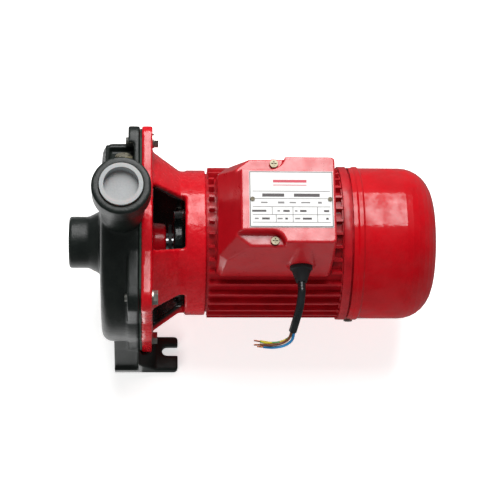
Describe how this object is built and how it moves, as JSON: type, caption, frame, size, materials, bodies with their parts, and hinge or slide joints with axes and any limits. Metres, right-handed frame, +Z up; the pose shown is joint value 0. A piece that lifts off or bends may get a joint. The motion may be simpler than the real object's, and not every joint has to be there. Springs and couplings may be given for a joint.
{
  "type": "close-coupled centrifugal water pump",
  "caption": "Close-coupled centrifugal water pump: black cast volute, red finned motor with a domed fan cover, lidded terminal box, short supply cable and slotted feet.",
  "frame": {"origin": "centre of the suction port's face, on the shaft's axis", "axes": "+X along the shaft from the suction port to the fan, +Z up towards the discharge port, +Y away from the supply cable's side"},
  "size_m": [0.302, 0.1906, 0.2406],
  "materials": {
    "casing_iron": "black enamel over rough sand-cast iron",
    "casing_gasket": "dark fibre gasket sheet, matte",
    "red_paint_cast": "gloss red enamel over cast iron",
    "red_paint_housing": "gloss dark red enamel over die-cast aluminium",
    "red_paint_cover": "gloss red enamel over pressed steel sheet",
    "zinc_steel": "bright zinc-plated steel",
    "brass": "machined brass",
    "copper": "soft copper",
    "copper_winding": "varnished copper winding wire",
    "port_plug_plastic": "white-grey moulded polyethylene, satin",
    "steel": "machined steel",
    "bearing_steel": "ground and polished bearing steel",
    "bearing_cage": "pressed steel",
    "seal_ceramic": "lapped white ceramic",
    "seal_carbon": "lapped carbon graphite",
    "black_rubber": "smooth black rubber",
    "lamination_steel": "stacked electrical steel sheets",
    "rotor_aluminium": "cast aluminium",
    "black_plastic": "black moulded plastic",
    "lead_insulation": "woven insulation sleeve",
    "white_plastic": "off-white moulded plastic",
    "nameplate_aluminium": "white printed aluminium sheet",
    "core_brown": "brown insulation",
    "core_blue": "blue insulation",
    "core_green_yellow": "green insulation with a yellow stripe"
  },
  "bodies": {
    "pump_body": {"volute_casing": "casing_iron", "casing_gasket": "casing_gasket", "motor_bracket": "red_paint_cast", "casing_bolts": "zinc_steel", "casing_bolt_washers": "zinc_steel", "priming_plug": "brass", "priming_plug_washer": "copper", "drain_plug": "brass", "drain_plug_washer": "copper", "seal_seat": "seal_ceramic", "seal_seat_cup": "black_rubber", "front_bearing_outer_ring": "bearing_steel", "motor_housing": "red_paint_housing", "stator_core": "lamination_steel", "stator_windings": "copper_winding", "thermal_protector": "black_plastic", "stator_leads": "lead_insulation", "rear_end_shield": "red_paint_cast", "rear_bearing_outer_ring": "bearing_steel", "wave_washer": "zinc_steel", "tie_bolts": "zinc_steel", "tie_bolt_nuts": "zinc_steel", "fan_cover": "red_paint_cover", "fan_cover_screws": "zinc_steel", "terminal_box_gasket": "black_rubber", "terminal_box_cover": "red_paint_cover", "terminal_block": "white_plastic", "terminal_screws": "brass", "capacitor": "white_plastic", "capacitor_clip": "zinc_steel", "cover_screws": "zinc_steel", "nameplate": "nameplate_aluminium", "nameplate_rivets": "steel", "cable_grommet": "black_rubber", "mains_cable": "black_rubber", "core_brown": "core_brown", "core_blue": "core_blue", "core_green_yellow": "core_green_yellow", "core_tips": "copper"},
    "rotor": {"shaft": "steel", "rotor_core": "lamination_steel", "rotor_end_rings": "rotor_aluminium", "impeller": "brass", "impeller_key": "steel", "impeller_nut": "brass", "seal_head": "seal_carbon", "seal_spring": "steel", "seal_bellows": "black_rubber", "slinger_ring": "black_rubber", "front_bearing_inner_ring": "bearing_steel", "rear_bearing_inner_ring": "bearing_steel", "cooling_fan": "black_plastic", "fan_clip": "steel"},
    "front_ball_set": {"front_bearing_balls": "bearing_steel", "front_bearing_cage": "bearing_cage"},
    "rear_ball_set": {"rear_bearing_balls": "bearing_steel", "rear_bearing_cage": "bearing_cage"},
    "port_plug": {"discharge_plug": "port_plug_plastic"}
  },
  "joints": [
    {"name": "rotor_spin", "type": "hinge", "parent": "pump_body", "child": "rotor", "pos_m": [0.1, 0, 0], "axis": [1, 0, 0], "continuous": true},
    {"name": "front_ball_set_spin", "type": "hinge", "parent": "pump_body", "child": "front_ball_set", "pos_m": [0.097, 0, 0], "axis": [1, 0, 0], "continuous": true},
    {"name": "rear_ball_set_spin", "type": "hinge", "parent": "pump_body", "child": "rear_ball_set", "pos_m": [0.2225, 0, 0], "axis": [1, 0, 0], "continuous": true},
    {"name": "discharge_plug_pull", "type": "slide", "parent": "pump_body", "child": "port_plug", "axis": [0, 0, 1], "range_m": [0, 0.04]}
  ],
  "couplings": [
    {"joint": "front_ball_set_spin", "follows": "rotor_spin", "ratio": 0.3842},
    {"joint": "rear_ball_set_spin", "follows": "rotor_spin", "ratio": 0.384}
  ]
}
